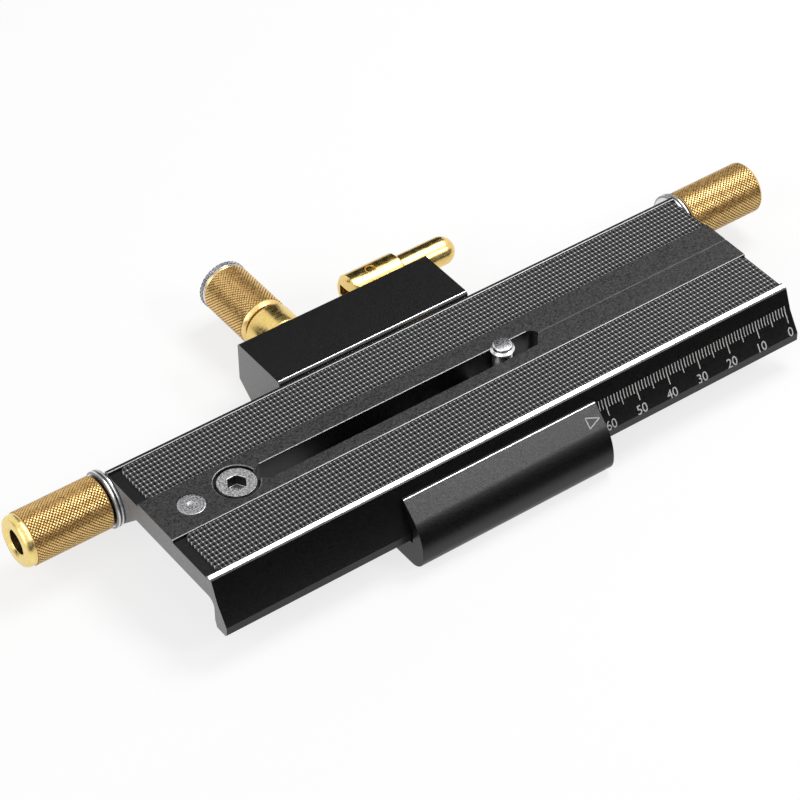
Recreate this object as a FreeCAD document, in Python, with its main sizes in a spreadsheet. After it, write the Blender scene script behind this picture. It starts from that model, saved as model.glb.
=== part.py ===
import FreeCAD, Part
import math
import os
import re
import Sketcher
from FreeCAD import Placement, Rotation, Vector

# A macro focusing rail. A long camera plate slides in a short dovetail base. A lead screw with a knob
# at each end moves it by one millimetre a turn. A lever at the back opens the half nut, and a lock
# knob beside it presses a pad against the plate.
# Origin: the mouth of the tripod thread, in the middle of the base's underside. X runs along the
# rail, Y towards the block that carries lever and lock, Z up. Millimetres.

SIZES = {
    # Running, seating and free gaps
    "seat_gap": 0.02,
    "running_gap": 0.05,
    "slide_gap": 0.3,
    # Camera plate: heights are drops below its top
    "plate_length": 180.0,
    "plate_shift": 5.3,
    "rail_height": 15.0,
    "plate_thick": 6.6,
    "front_edge": 24.6,
    "bevel_width": 1.5,
    "bevel_drop": 0.5,
    "rear_edge": 23.0,
    "rear_bevel": 0.6,
    "knee_out": 26.7,
    "knee_drop": 6.3,
    "foot_out": 30.2,
    "foot_drop": 11.9,
    "foot_width": 4.4,
    "foot_bevel": 0.7,
    "neck_in": 25.2,
    "cove_radius": 2.5,
    "web_out": 9.3,
    "web_run": 8.7,
    "lip_bevel": 0.7,
    # Lead screw, channel and knobs
    "screw_out": 22.2,
    "screw_drop": 8.7,
    "screw_radius": 4.0,
    "mouth_rise": 3.95,
    "mouth_fall": 3.3,
    "journal_radius": 3.0,
    "bush_length": 8.0,
    "washer_radius": 7.85,
    "washer_thick": 1.05,
    "washer_bevel": 0.25,
    "knob_radius": 7.25,
    "knob_length": 25.1,
    "knob_bevel": 1.0,
    "knob_root_bevel": 0.5,
    "journal_hold": 14.0,
    "socket_bore": 3.3,
    "socket_depth": 6.0,
    "keeper_head": 2.75,
    "keeper_head_height": 3.0,
    "keeper_radius": 1.5,
    "keeper_length": 7.0,
    "keeper_hex": 1.45,
    "keeper_hex_depth": 1.6,
    # Grip strips on the plate
    "channel_half": 7.9,
    "strip_depth": 0.9,
    "strip_proud": 0.2,
    "strip_front_out": 22.6,
    "strip_rear_out": 21.4,
    "strip_left_inset": 3.3,
    "strip_right_inset": 1.0,
    "strip_corner": 3.0,
    # Slot, line and camera screw
    "slot_half": 2.9,
    "slot_forward": 0.85,
    "slot_left_inset": 32.2,
    "slot_right_inset": 65.6,
    "line_width": 0.4,
    "line_depth": 0.25,
    "camera_from_slot_end": 9.5,
    "camera_thread": 3.175,
    "camera_neck": 2.6,
    "camera_rise": 3.0,
    "camera_bevel": 0.5,
    "camera_head": 7.5,
    "camera_head_height": 5.2,
    "camera_head_bevel": 0.6,
    "coin_slot_width": 1.8,
    "coin_slot_depth": 1.6,
    "camera_washer": 7.2,
    "camera_washer_thick": 0.5,
    # Spare screw and plug in the plate
    "spare_inset": 23.8,
    "spare_thread": 4.76,
    "spare_head": 5.3,
    "spare_head_height": 1.2,
    "spare_well": 5.9,
    "spare_well_depth": 1.4,
    "spare_hex": 2.65,
    "spare_hex_depth": 3.0,
    "plug_spacing": 13.3,
    "plug_radius": 3.7,
    "plug_dimple": 1.0,
    # Base
    "base_length": 60.0,
    "floor_thick": 7.3,
    "ride_gap": 0.2,
    "jaw_drop": 3.5,
    "jaw_land": 0.8,
    "jaw_reach": 35.0,
    "jaw_slope_run": 4.6,
    "jaw_slope_fall": 4.3,
    "jaw_round": 13.0,
    "jaw_corner": 5.0,
    "block_gap": 0.8,
    "block_bevel": 0.6,
    "block_depth": 19.3,
    "back_chamfer_run": 8.3,
    "back_chamfer_rise": 7.0,
    "lip_catch": 2.4,
    "tripod_thread": 4.7625,
    "insert_radius": 7.0,
    "insert_flange": 8.5,
    "insert_flange_thick": 1.5,
    "insert_sink": 0.1,
    # Slide strips
    "gib_inset": 2.0,
    "gib_thick": 1.2,
    "gib_below_knee": 0.8,
    "gib_above_foot": 0.6,
    "runner_rise": 0.15,
    "runner_sink": 0.65,
    "front_runner_width": 3.0,
    "rear_runner_width": 6.0,
    "rear_runner_at": 23.0,
    # Half nut and its pull rod
    "nut_inset": 13.8,
    "nut_length": 11.0,
    "nut_rise": 3.0,
    "nut_fall": 2.9,
    "nut_lip_gap": 1.6,
    "nut_body": 3.9,
    "nut_floor_gap": 0.8,
    "lever_drop": 7.2,
    "lift": 2.15,
    "rod_radius": 2.5,
    "rod_seat": 3.0,
    "rod_flat": 3.0,
    "rod_wall": 3.3,
    "eye_radius": 3.0,
    "spring_radius": 3.25,
    "spring_wire": 0.7,
    "spring_bore": 4.0,
    "spring_turns": 6.0,
    # Release lever
    "lever_radius": 5.45,
    "lever_gap": 0.25,
    "lever_tail": 7.6,
    "lever_shoulder": 9.4,
    "lever_bevel": 0.9,
    "handle_radius": 4.05,
    "handle_length": 17.75,
    "slot_margin": 0.3,
    "tongue_gap": 0.1,
    "pin_radius": 1.5,
    "pin_sink": 0.2,
    # Lock
    "lock_inset": 14.7,
    "lock_drop": 7.5,
    "pad_length": 16.0,
    "pad_depth": 2.8,
    "pad_height": 6.8,
    "lock_stroke": 0.75,
    "tip_radius": 2.4,
    "tip_length": 3.0,
    "spindle_radius": 3.0,
    "spindle_hold": 14.0,
    "shank_radius": 5.2,
    "shank_length": 8.0,
    "collar_radius": 7.2,
    "collar_length": 8.2,
    "collar_bevel": 0.5,
    "lock_knob_gap": 1.2,
    "lock_knob_radius": 7.1,
    "lock_knob_length": 18.8,
    "ring_radius": 7.2,
    "ring_length": 2.2,
    "ring_bevel": 0.4,
    "spigot_radius": 4.0,
    "spigot_length": 3.0,
}

# Places that several pieces share
FOOT_Z = "(floor_thick + ride_gap)"
TOP_Z = "(floor_thick + ride_gap + rail_height)"
DECK_Z = f"({TOP_Z} - plate_thick)"
BASE_Z = f"({TOP_Z} - jaw_drop)"
KNEE_Z = f"({TOP_Z} - knee_drop)"
FLANK_Z = f"({TOP_Z} - foot_drop)"
SCREW_Z = f"({TOP_Z} - screw_drop)"
LIP_Z = f"({SCREW_Z} - mouth_fall)"
LEVER_Z = f"({BASE_Z} - lever_drop)"
LOCK_Z = f"({BASE_Z} - lock_drop)"
STRIP_Z = f"({TOP_Z} - strip_depth)"
CHANNEL_R = "(screw_radius + slide_gap)"
BLOCK_IN = "(screw_out + screw_radius + block_gap)"
LIP_OUT = f"({BLOCK_IN} + lip_catch)"
RECESS_OUT = f"({LIP_OUT} + slide_gap)"
BLOCK_BACK = f"({BLOCK_IN} + block_depth)"
NUT_STEP = f"({LIP_OUT} + nut_lip_gap)"
NUT_BACK = f"({NUT_STEP} + nut_body)"
NUT_TOP = f"({SCREW_Z} + nut_rise)"
NUT_LOW = "(floor_thick + nut_floor_gap)"
POCKET_BACK = f"({NUT_BACK} + lift + lever_gap)"
SPRING_END = f"({BLOCK_BACK} - rod_wall)"
LEVER_Y = f"({BLOCK_BACK} + lever_gap + lever_radius)"
PAD_FRONT = f"({LIP_OUT} + lock_stroke + running_gap)"
PAD_BACK = f"({PAD_FRONT} + pad_depth)"
SHANK_Y = f"({BLOCK_BACK} - shank_length)"
KNOB_Y = f"({BLOCK_BACK} + collar_length + lock_knob_gap)"
PLATE_END = "(plate_length / 2)"
KNOB_X = f"({PLATE_END} + 2 * washer_thick + running_gap)"
SLOT_LEFT = f"(plate_shift - {PLATE_END} + slot_left_inset)"
SLOT_RIGHT = f"(plate_shift + {PLATE_END} - slot_right_inset)"
CAMERA_X = f"({SLOT_RIGHT} - camera_from_slot_end)"
SPARE_X = f"(plate_shift - {PLATE_END} + spare_inset)"
PLUG_X = f"({SPARE_X} - plug_spacing)"
NUT_X = "(base_length / 2 - nut_inset)"
LOCK_X = "(lock_inset - base_length / 2)"
GIB_LENGTH = "(base_length - 2 * gib_inset)"

ALONG_X = Rotation()
ALONG_Y = Rotation(Vector(0, 0, 1), 90)
ALONG_Z = Rotation(Vector(0, 1, 0), -90)
AGAINST_X = Rotation(Vector(0, 0, 1), 180)
DRILL = {
    "x": Rotation(Vector(0, 1, 0), 90),
    "y": Rotation(Vector(1, 0, 0), -90),
    "z": Rotation(),
}

doc = FreeCAD.newDocument("MacroFocusingRail")
sheet = doc.addObject("Spreadsheet::Sheet", "Dimensions")
for row, (alias, value) in enumerate(SIZES.items(), start=1):
    sheet.set(f"A{row}", alias)
    sheet.set(f"B{row}", str(value))
    sheet.setAlias(f"B{row}", alias)
doc.recompute()


def bound(text):
    """An expression with the sheet's name put before each of its sizes."""
    return re.sub(r"[a-z_]+", lambda word: f"Dimensions.{word[0]}" if word[0] in SIZES else word[0], text)


def number(text):
    """What an expression comes to now."""
    return float(sheet.evalExpression(bound(text)))


def flank(height):
    """How far out the plate's sloping front face is at a height: steep above the knee, flatter below."""
    if number(height) > number(KNEE_Z):
        lean = "(knee_out - front_edge) / (knee_drop - bevel_drop)"
        return f"(front_edge + ({TOP_Z} - bevel_drop - {height}) * {lean})"
    lean = "(foot_out - knee_out) / (foot_drop - knee_drop)"
    return f"(knee_out + ({KNEE_Z} - {height}) * {lean})"


def across(radius, offset):
    """Half the chord of a circle at an offset from its centre."""
    return f"sqrt({radius} ^ 2 - {offset} ^ 2)"


def place(item, x="0", y="0", z="0", turn=ALONG_X):
    """Turns an object and binds its position to the sheet."""
    item.Placement = Placement(Vector(), turn)
    for axis, text in zip("xyz", (x, y, z)):
        item.setExpression(f".Placement.Base.{axis}", bound(text))
    return item


def outline(body, plane, points):
    """A closed sketch on one of the body's planes, each corner bound to the sheet.

    A corner is (u, v), or (u, v, radius, turn) where an arc leads to the next corner, counter-clockwise
    for a turn of 1 and clockwise for -1.
    """
    sketch = body.newObject("Sketcher::SketchObject", body.Name + "_outline")
    flat = next(item for item in body.Origin.OriginFeatures if item.Role == plane)
    sketch.AttachmentSupport = [(flat, "")]
    sketch.MapMode = "FlatFace"
    spots = [Vector(number(point[0]), number(point[1]), 0) for point in points]
    ends = []
    for index, point in enumerate(points):
        start, stop = spots[index], spots[(index + 1) % len(points)]
        if len(point) == 2:
            sketch.addGeometry(Part.LineSegment(start, stop), False)
            ends.append((1, 2))
            continue
        radius, turn = number(point[2]), point[3]
        half = (stop - start) * 0.5
        side = Vector(-half.y, half.x, 0).normalize() * turn
        centre = start + half + side * math.sqrt(max(radius ** 2 - half.Length ** 2, 0))
        first, last = (start, stop) if turn > 0 else (stop, start)
        angles = [math.atan2(spot.y - centre.y, spot.x - centre.x) for spot in (first, last)]
        circle = Part.Circle(centre, Vector(0, 0, 1), radius)
        sketch.addGeometry(Part.ArcOfCircle(circle, *angles), False)
        ends.append((1, 2) if turn > 0 else (2, 1))
    for index, point in enumerate(points):
        after = (index + 1) % len(points)
        sketch.addConstraint(Sketcher.Constraint("Coincident", index, ends[index][1], after, ends[after][0]))
        for kind, text, value in zip(("DistanceX", "DistanceY"), point, spots[index]):
            made = sketch.addConstraint(Sketcher.Constraint(kind, -1, 1, index, ends[index][0], value))
            sketch.setExpression(f"Constraints[{made}]", bound(text))
        if len(point) > 2:
            made = sketch.addConstraint(Sketcher.Constraint("Radius", index, number(point[2])))
            sketch.setExpression(f"Constraints[{made}]", bound(point[2]))
    return sketch


def padded(name, plane, points, length):
    """A body with one outline, drawn out evenly to both sides of its plane."""
    body = doc.addObject("PartDesign::Body", name)
    pad = body.newObject("PartDesign::Pad", name + "_pad")
    pad.Profile = outline(body, plane, points)
    pad.SideType = "Symmetric"
    pad.setExpression("Length", bound(length))
    return body


def turned(name, points):
    """A body turned about its own X axis from a closed outline of (along, radius) corners."""
    body = doc.addObject("PartDesign::Body", name)
    sketch = outline(body, "XY_Plane", points)
    spin = body.newObject("PartDesign::Revolution", name + "_turn")
    spin.Profile = sketch
    spin.ReferenceAxis = (sketch, ["H_Axis"])
    spin.Angle = 360
    return body


def tube(name, length, outer, bore, bevel="0"):
    """A turned ring or bush, with the same bevel on both outer edges if it has one."""
    if number(bevel) == 0:
        return turned(name, [("0", bore), (length, bore), (length, outer), ("0", outer)])
    return turned(name, [
        ("0", bore),
        (length, bore),
        (length, f"{outer} - {bevel}"),
        (f"{length} - {bevel}", outer),
        (bevel, outer),
        ("0", f"{outer} - {bevel}"),
    ])


def box(name, low, high):
    """A box between two corners, each given as three expressions."""
    made = doc.addObject("Part::Box", name)
    for side, start, stop in zip(("Length", "Width", "Height"), low, high):
        made.setExpression(side, bound(f"({stop}) - ({start})"))
    return place(made, *low)


def drill(name, along, radius, length, x="0", y="0", z="0"):
    """A round bar or drilled hole of a radius and length, starting at a point."""
    made = doc.addObject("Part::Cylinder", name)
    made.setExpression("Radius", bound(radius))
    made.setExpression("Height", bound(length))
    return place(made, x, y, z, DRILL[along])


def hexagon(name, radius, depth):
    """A hexagonal bar that cuts a socket."""
    made = doc.addObject("Part::Prism", name)
    made.Polygon = 6
    made.setExpression("Circumradius", bound(radius))
    made.setExpression("Height", bound(depth))
    return made


def joined(name, parts):
    """Several solids made one."""
    made = doc.addObject("Part::MultiFuse", name)
    made.Shapes = parts
    return made


def cut(name, blank, tools):
    """A blank with the tools taken away."""
    made = doc.addObject("Part::Cut", name)
    made.Base = blank
    made.Tool = tools[0] if len(tools) == 1 else joined(name + "_tools", tools)
    return made


# Camera plate: an aluminium extrusion with a sloping front flank, a foot that hooks under the base's
# jaw, a round channel for the lead screw at the back and two shallow grooves for the grip strips
def plate_profile():
    inner = f"(screw_out - {CHANNEL_R})"
    return [
        ("-(front_edge - bevel_width)", TOP_Z),
        ("-front_edge", f"{TOP_Z} - bevel_drop"),
        ("-knee_out", KNEE_Z),
        ("-foot_out", FLANK_Z),
        ("-foot_out", f"{FOOT_Z} + foot_bevel"),
        ("-(foot_out - foot_bevel)", FOOT_Z),
        ("-(foot_out - foot_width)", FOOT_Z),
        ("-neck_in", f"{FOOT_Z} + 3 * foot_bevel"),
        ("-neck_in", f"{DECK_Z} - cove_radius", "cove_radius", -1),
        ("-(neck_in - cove_radius)", DECK_Z),
        ("web_out", DECK_Z),
        ("web_out + web_run", FOOT_Z),
        (f"{LIP_OUT} - lip_bevel", FOOT_Z),
        (LIP_OUT, f"{FOOT_Z} + lip_bevel"),
        (LIP_OUT, LIP_Z),
        (f"screw_out + {across(CHANNEL_R, 'mouth_fall')}", LIP_Z, CHANNEL_R, -1),
        (inner, SCREW_Z, CHANNEL_R, -1),
        (f"screw_out + {across(CHANNEL_R, 'mouth_rise')}", f"{SCREW_Z} + mouth_rise"),
        ("rear_edge", f"{TOP_Z} - rear_bevel"),
        ("rear_edge - rear_bevel", TOP_Z),
        ("strip_rear_out", TOP_Z),
        ("strip_rear_out", STRIP_Z),
        ("channel_half", STRIP_Z),
        ("channel_half", TOP_Z),
        ("-channel_half", TOP_Z),
        ("-channel_half", STRIP_Z),
        ("-strip_front_out", STRIP_Z),
        ("-strip_front_out", TOP_Z),
    ]


def top_plate():
    blank = place(padded("plate_blank", "YZ_Plane", plate_profile(), "plate_length"), x="plate_shift")
    low, deep = f"{DECK_Z} - plate_thick", "3 * plate_thick"
    tools = [
        box(
            "slot_run",
            (SLOT_LEFT, "-slot_forward - slot_half", low),
            (SLOT_RIGHT, "-slot_forward + slot_half", f"{low} + {deep}"),
        ),
        drill("slot_left_end", "z", "slot_half", deep, SLOT_LEFT, "-slot_forward", low),
        drill("slot_right_end", "z", "slot_half", deep, SLOT_RIGHT, "-slot_forward", low),
        box(
            "centre_line",
            (SLOT_RIGHT, "-line_width / 2", f"{TOP_Z} - line_depth"),
            (f"plate_shift + {PLATE_END} + plate_thick", "line_width / 2", f"{TOP_Z} + plate_thick"),
        ),
        drill("spare_hole", "z", "spare_thread + seat_gap", deep, SPARE_X, "0", low),
        drill("spare_well_cut", "z", "spare_well", deep, SPARE_X, "0", f"{TOP_Z} - spare_well_depth"),
        drill("plug_hole", "z", "plug_radius + seat_gap", deep, PLUG_X, "0", low),
    ]
    return cut("top_plate", blank, tools)


# Grip strips: waffled rubber set in the plate's grooves, a little proud, with rounded corners
def grip_strip(name, near, far):
    half = "((plate_length - strip_left_inset - strip_right_inset) / 2)"
    corner = "strip_corner"
    low, high = f"({near} + running_gap)", f"({far} - running_gap)"
    points = [
        (f"-({half} - {corner})", low),
        (f"{half} - {corner}", low, corner, 1),
        (half, f"{low} + {corner}"),
        (half, f"{high} - {corner}", corner, 1),
        (f"{half} - {corner}", high),
        (f"-({half} - {corner})", high, corner, 1),
        (f"-{half}", f"{high} - {corner}"),
        (f"-{half}", f"{low} + {corner}", corner, 1),
    ]
    thick = "(strip_depth + strip_proud)"
    body = padded(name, "XY_Plane", points, thick)
    middle = "plate_shift + (strip_left_inset - strip_right_inset) / 2"
    return place(body, x=middle, z=f"{STRIP_Z} + {thick} / 2")


# Camera screw: a captive quarter-inch screw that slides along the slot, with a wide head below the
# plate, an undercut neck in the slot and a plastic washer between head and plate
def camera_screw():
    head_top = f"({DECK_Z} - camera_washer_thick - 2 * running_gap)"
    shoulder = f"({TOP_Z} + strip_proud + running_gap - {head_top} + camera_head_height)"
    length = f"({TOP_Z} + camera_rise - {head_top} + camera_head_height)"
    blank = turned("camera_screw_blank", [
        ("0", "0"),
        (length, "0"),
        (length, "camera_thread - camera_bevel"),
        (f"{length} - camera_bevel", "camera_thread"),
        (shoulder, "camera_thread"),
        (shoulder, "camera_neck"),
        ("camera_head_height", "camera_neck"),
        ("camera_head_height", "camera_head - camera_head_bevel"),
        ("camera_head_height - camera_head_bevel", "camera_head"),
        ("camera_head_bevel", "camera_head"),
        ("0", "camera_head - camera_head_bevel"),
    ])
    foot = f"({head_top} - camera_head_height)"
    place(blank, CAMERA_X, "-slot_forward", foot, ALONG_Z)
    coin = box(
        "coin_slot",
        (
            f"{CAMERA_X} - 2 * camera_head",
            "-slot_forward - coin_slot_width / 2",
            f"{foot} - coin_slot_depth",
        ),
        (
            f"{CAMERA_X} + 2 * camera_head",
            "-slot_forward + coin_slot_width / 2",
            f"{foot} + coin_slot_depth",
        ),
    )
    return cut("camera_screw", blank, [coin])


def camera_screw_washer():
    body = tube("camera_screw_washer", "camera_washer_thick", "camera_washer", "camera_neck + running_gap")
    low = f"{DECK_Z} - running_gap - camera_washer_thick"
    return place(body, CAMERA_X, "-slot_forward", low, ALONG_Z)


# Spare screw: a three-eighths screw kept in the plate, its flat head and hex socket flush with the top
def spare_screw():
    shank = "(plate_thick - spare_well_depth - running_gap)"
    blank = turned("spare_blank", [
        ("0", "0"),
        (f"{shank} + spare_head_height", "0"),
        (f"{shank} + spare_head_height", "spare_head"),
        (shank, "spare_head"),
        (shank, "spare_thread"),
        ("0", "spare_thread"),
    ])
    place(blank, SPARE_X, "0", f"{DECK_Z} + running_gap", ALONG_Z)
    bottom = f"{DECK_Z} + running_gap + {shank} + spare_head_height - spare_hex_depth"
    socket = hexagon("spare_socket", "spare_hex", "2 * spare_hex_depth")
    place(socket, SPARE_X, "0", bottom)
    return cut("spare_screw", blank, [socket])


# Plug: a pressed steel plug beside the spare screw, with a turner's dimple in its face
def plate_plug():
    length = "(plate_thick - 2 * running_gap)"
    body = turned("plate_plug", [
        ("0", "0"),
        (f"{length} - plug_dimple / 2", "0"),
        (length, "plug_dimple"),
        (length, "plug_radius"),
        ("0", "plug_radius"),
    ])
    return place(body, PLUG_X, "0", f"{DECK_Z} + running_gap", ALONG_Z)


# Lead screw: a fine-threaded rod with a thinner journal at each end, which turns in two brass bushes
def lead_screw():
    half = f"({PLATE_END} - bush_length - running_gap)"
    tip = f"({KNOB_X} + journal_hold)"
    body = turned("lead_screw_blank", [
        (f"-{tip}", "0"),
        (tip, "0"),
        (tip, "journal_radius"),
        (half, "journal_radius"),
        (half, "screw_radius"),
        (f"-{half}", "screw_radius"),
        (f"-{half}", "journal_radius"),
        (f"-{tip}", "journal_radius"),
    ])
    place(body, "plate_shift", "screw_out", SCREW_Z)
    deep = "(keeper_length + running_gap)"
    holes = [
        drill(
            f"keeper_hole_{side}", "x", "keeper_radius + seat_gap", f"2 * {deep}",
            f"plate_shift {sign} {tip} - {deep}", "screw_out", SCREW_Z,
        )
        for side, sign in (("left", "-"), ("right", "+"))
    ]
    return cut("lead_screw", body, holes)


# What sits at each end of the screw, from the plate outwards: bush, fixed washer, turning washer, knob
def at_end(body, side, start):
    if side == "left":
        return place(body, f"plate_shift - {start}", "screw_out", SCREW_Z, AGAINST_X)
    return place(body, f"plate_shift + {start}", "screw_out", SCREW_Z, ALONG_X)


def screw_bush(side):
    outer = f"({CHANNEL_R} - seat_gap)"
    body = tube(f"{side}_bush", "bush_length", outer, "journal_radius + running_gap")
    return at_end(body, side, f"({PLATE_END} - bush_length)")


def thrust_washer(side):
    bore = "journal_radius + running_gap"
    body = tube(f"{side}_thrust_washer", "washer_thick", "washer_radius", bore, "washer_bevel")
    return at_end(body, side, PLATE_END)


def knob_washer(side):
    bore = "journal_radius + seat_gap"
    body = tube(f"{side}_knob_washer", "washer_thick", "washer_radius", bore, "washer_bevel")
    return at_end(body, side, f"({PLATE_END} + washer_thick + running_gap)")


def rail_knob(side):
    bore = "(journal_radius + seat_gap)"
    seat = "(journal_hold + running_gap)"
    well = "(knob_length - socket_depth)"
    body = turned(f"{side}_knob", [
        ("0", bore),
        (seat, bore),
        (seat, "keeper_radius + running_gap"),
        (well, "keeper_radius + running_gap"),
        (well, "socket_bore"),
        ("knob_length", "socket_bore"),
        ("knob_length", "knob_radius - knob_bevel"),
        ("knob_length - knob_bevel", "knob_radius"),
        ("knob_root_bevel", "knob_radius"),
        ("0", "knob_radius - knob_root_bevel"),
    ])
    return at_end(body, side, KNOB_X)


# Keeper screws: a socket-headed screw in the bore of each knob holds it on the journal
def knob_screws():
    made = []
    for side in ("left", "right"):
        blank = turned(f"{side}_keeper_blank", [
            ("-keeper_length", "0"),
            ("keeper_head_height", "0"),
            ("keeper_head_height", "keeper_head"),
            ("0", "keeper_head"),
            ("0", "keeper_radius"),
            ("-keeper_length", "keeper_radius"),
        ])
        start = f"({KNOB_X} + knob_length - socket_depth)"
        at_end(blank, side, start)
        socket = hexagon(f"{side}_keeper_hex", "keeper_hex", "2 * keeper_hex_depth")
        sign = "-" if side == "left" else "+"
        depth = "keeper_hex_depth" if side == "right" else "(-keeper_hex_depth)"
        face = f"plate_shift {sign} ({start} + keeper_head_height) - {depth}"
        turn = DRILL["x"] if side == "right" else Rotation(Vector(0, 1, 0), -90)
        place(socket, face, "screw_out", SCREW_Z, turn)
        made.append(cut(f"{side}_keeper", blank, [socket]))
    both = doc.addObject("Part::Compound", "knob_screws")
    both.Links = made
    return both


# Base: one aluminium extrusion, a flat floor between a rounded front jaw and a deep rear block
def base_profile():
    slope_end = f"({BASE_Z} - jaw_slope_fall)"
    slope_out = f"({flank(BASE_Z)} + slide_gap + jaw_land + jaw_slope_run)"
    ledge = f"({LIP_Z} + running_gap * 2)"
    return [
        (f"-({flank(BASE_Z)} + slide_gap)", BASE_Z),
        (f"-({flank(BASE_Z)} + slide_gap + jaw_land)", BASE_Z),
        (f"-{slope_out}", slope_end, "jaw_round", 1),
        ("-jaw_reach", "jaw_corner", "jaw_corner", 1),
        ("-(jaw_reach - jaw_corner)", "0"),
        (f"{BLOCK_BACK} - back_chamfer_run", "0"),
        (BLOCK_BACK, "back_chamfer_rise"),
        (BLOCK_BACK, f"{BASE_Z} - block_bevel"),
        (f"{BLOCK_BACK} - block_bevel", BASE_Z),
        (f"{BLOCK_IN} + block_bevel", BASE_Z),
        (BLOCK_IN, f"{BASE_Z} - block_bevel"),
        (BLOCK_IN, ledge),
        (RECESS_OUT, ledge),
        (RECESS_OUT, "floor_thick"),
        ("-(foot_out + slide_gap)", "floor_thick"),
        ("-(foot_out + slide_gap)", FLANK_Z),
        ("-(knee_out + slide_gap)", KNEE_Z),
    ]


GIB_TOP = f"({KNEE_Z} - gib_below_knee)"
GIB_LOW = f"({FLANK_Z} + gib_above_foot)"


def gib_profile(gap):
    """The front gib in section, grown by a gap on the sides that lie in the jaw."""
    low, high = f"({GIB_LOW} - {gap})", f"({GIB_TOP} + {gap})"
    return [
        (f"-({flank(GIB_TOP)} + running_gap)", high),
        (f"-({flank(GIB_TOP)} + running_gap + gib_thick + {gap})", high),
        (f"-({flank(GIB_LOW)} + running_gap + gib_thick + {gap})", low),
        (f"-({flank(GIB_LOW)} + running_gap)", low),
    ]


def runner_ends(width, middle, gap):
    half = f"({width} / 2 + {gap})"
    return f"{middle} - {half}", f"{middle} + {half}"


FRONT_RUNNER_Y = "(-(foot_out - foot_width / 2))"


def runner(name, width, middle, gap="0", top="(floor_thick + runner_rise)"):
    """A slide strip in the floor, or the groove for it when a gap and a higher top are given."""
    low, high = runner_ends(width, middle, gap)
    half = f"({GIB_LENGTH} / 2 + {gap})"
    bottom = f"(floor_thick - runner_sink - {gap})"
    return box(name, (f"-{half}", low, bottom), (half, high, top))


def base_body():
    blank = padded("base_blank", "YZ_Plane", base_profile(), "base_length")
    gib_groove = padded("gib_groove", "YZ_Plane", gib_profile("seat_gap"), f"{GIB_LENGTH} + 2 * seat_gap")
    nut_half = "(nut_length / 2 + running_gap)"
    pad_half = "(pad_length / 2 + running_gap)"
    inside = f"{BLOCK_IN} - block_bevel"
    over_floor = "(floor_thick + runner_sink)"
    tools = [
        gib_groove,
        runner("front_groove", "front_runner_width", FRONT_RUNNER_Y, "seat_gap", over_floor),
        runner("rear_groove", "rear_runner_width", "rear_runner_at", "seat_gap", over_floor),
        drill("insert_hole", "z", "insert_radius + seat_gap", BASE_Z, z="-floor_thick"),
        drill(
            "insert_flange_well", "z", "insert_flange + seat_gap", f"{BASE_Z} - floor_thick",
            z="floor_thick - insert_flange_thick - insert_sink",
        ),
        box(
            "nut_pocket",
            (f"{NUT_X} - {nut_half}", inside, f"{NUT_LOW} - running_gap"),
            (f"{NUT_X} + {nut_half}", POCKET_BACK, f"{NUT_TOP} + running_gap"),
        ),
        drill(
            "spring_hole", "y", "spring_bore", f"{SPRING_END} - {BLOCK_IN}", NUT_X, BLOCK_IN, LEVER_Z
        ),
        drill(
            "rod_hole", "y", "rod_radius + running_gap", "2 * block_depth", NUT_X, BLOCK_IN, LEVER_Z
        ),
        box(
            "pad_pocket",
            (f"{LOCK_X} - {pad_half}", inside, f"{LOCK_Z} - pad_height / 2 - running_gap"),
            (f"{LOCK_X} + {pad_half}", f"{PAD_BACK} + slide_gap", f"{LOCK_Z} + pad_height / 2 + running_gap"),
        ),
        drill(
            "spindle_hole", "y", "spindle_radius + slide_gap", "2 * block_depth", LOCK_X, BLOCK_IN, LOCK_Z
        ),
        drill("shank_hole", "y", "shank_radius + seat_gap", "block_depth", LOCK_X, SHANK_Y, LOCK_Z),
    ]
    return cut("base_body", blank, tools)


# Tripod insert: a flanged steel thread for a three-eighths tripod screw, pressed in from above
def tripod_insert():
    length = "(floor_thick - insert_sink)"
    body = turned("tripod_insert", [
        ("0", "tripod_thread"),
        (length, "tripod_thread"),
        (length, "insert_flange"),
        (f"{length} - insert_flange_thick", "insert_flange"),
        (f"{length} - insert_flange_thick", "insert_radius"),
        ("0", "insert_radius"),
    ])
    return place(body, turn=ALONG_Z)


# Slide strips: slippery plastic between plate and base, one under the jaw and two in the floor
def front_gib():
    return padded("front_gib", "YZ_Plane", gib_profile("0"), GIB_LENGTH)


# Half nut: a brass block whose nose is hollowed to the lead screw; its pull rod runs out at the back
def half_nut():
    grip = "(screw_radius + running_gap)"
    points = [
        (f"screw_out + {across(grip, 'nut_rise')}", NUT_TOP),
        (f"screw_out + {grip}", SCREW_Z),
        (f"screw_out + {across(grip, 'nut_fall')}", f"{SCREW_Z} - nut_fall"),
        (NUT_STEP, f"{SCREW_Z} - nut_fall"),
        (NUT_STEP, NUT_LOW),
        (NUT_BACK, NUT_LOW),
        (NUT_BACK, NUT_TOP),
    ]
    points[0] += (grip, -1)
    points[1] += (grip, -1)
    blank = place(padded("nut_blank", "YZ_Plane", points, "nut_length"), x=NUT_X)
    seat = drill(
        "rod_seat_hole", "y", "rod_radius + seat_gap", "2 * nut_body",
        NUT_X, f"{NUT_BACK} - rod_seat", LEVER_Z,
    )
    return cut("half_nut", blank, [seat])


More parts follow.
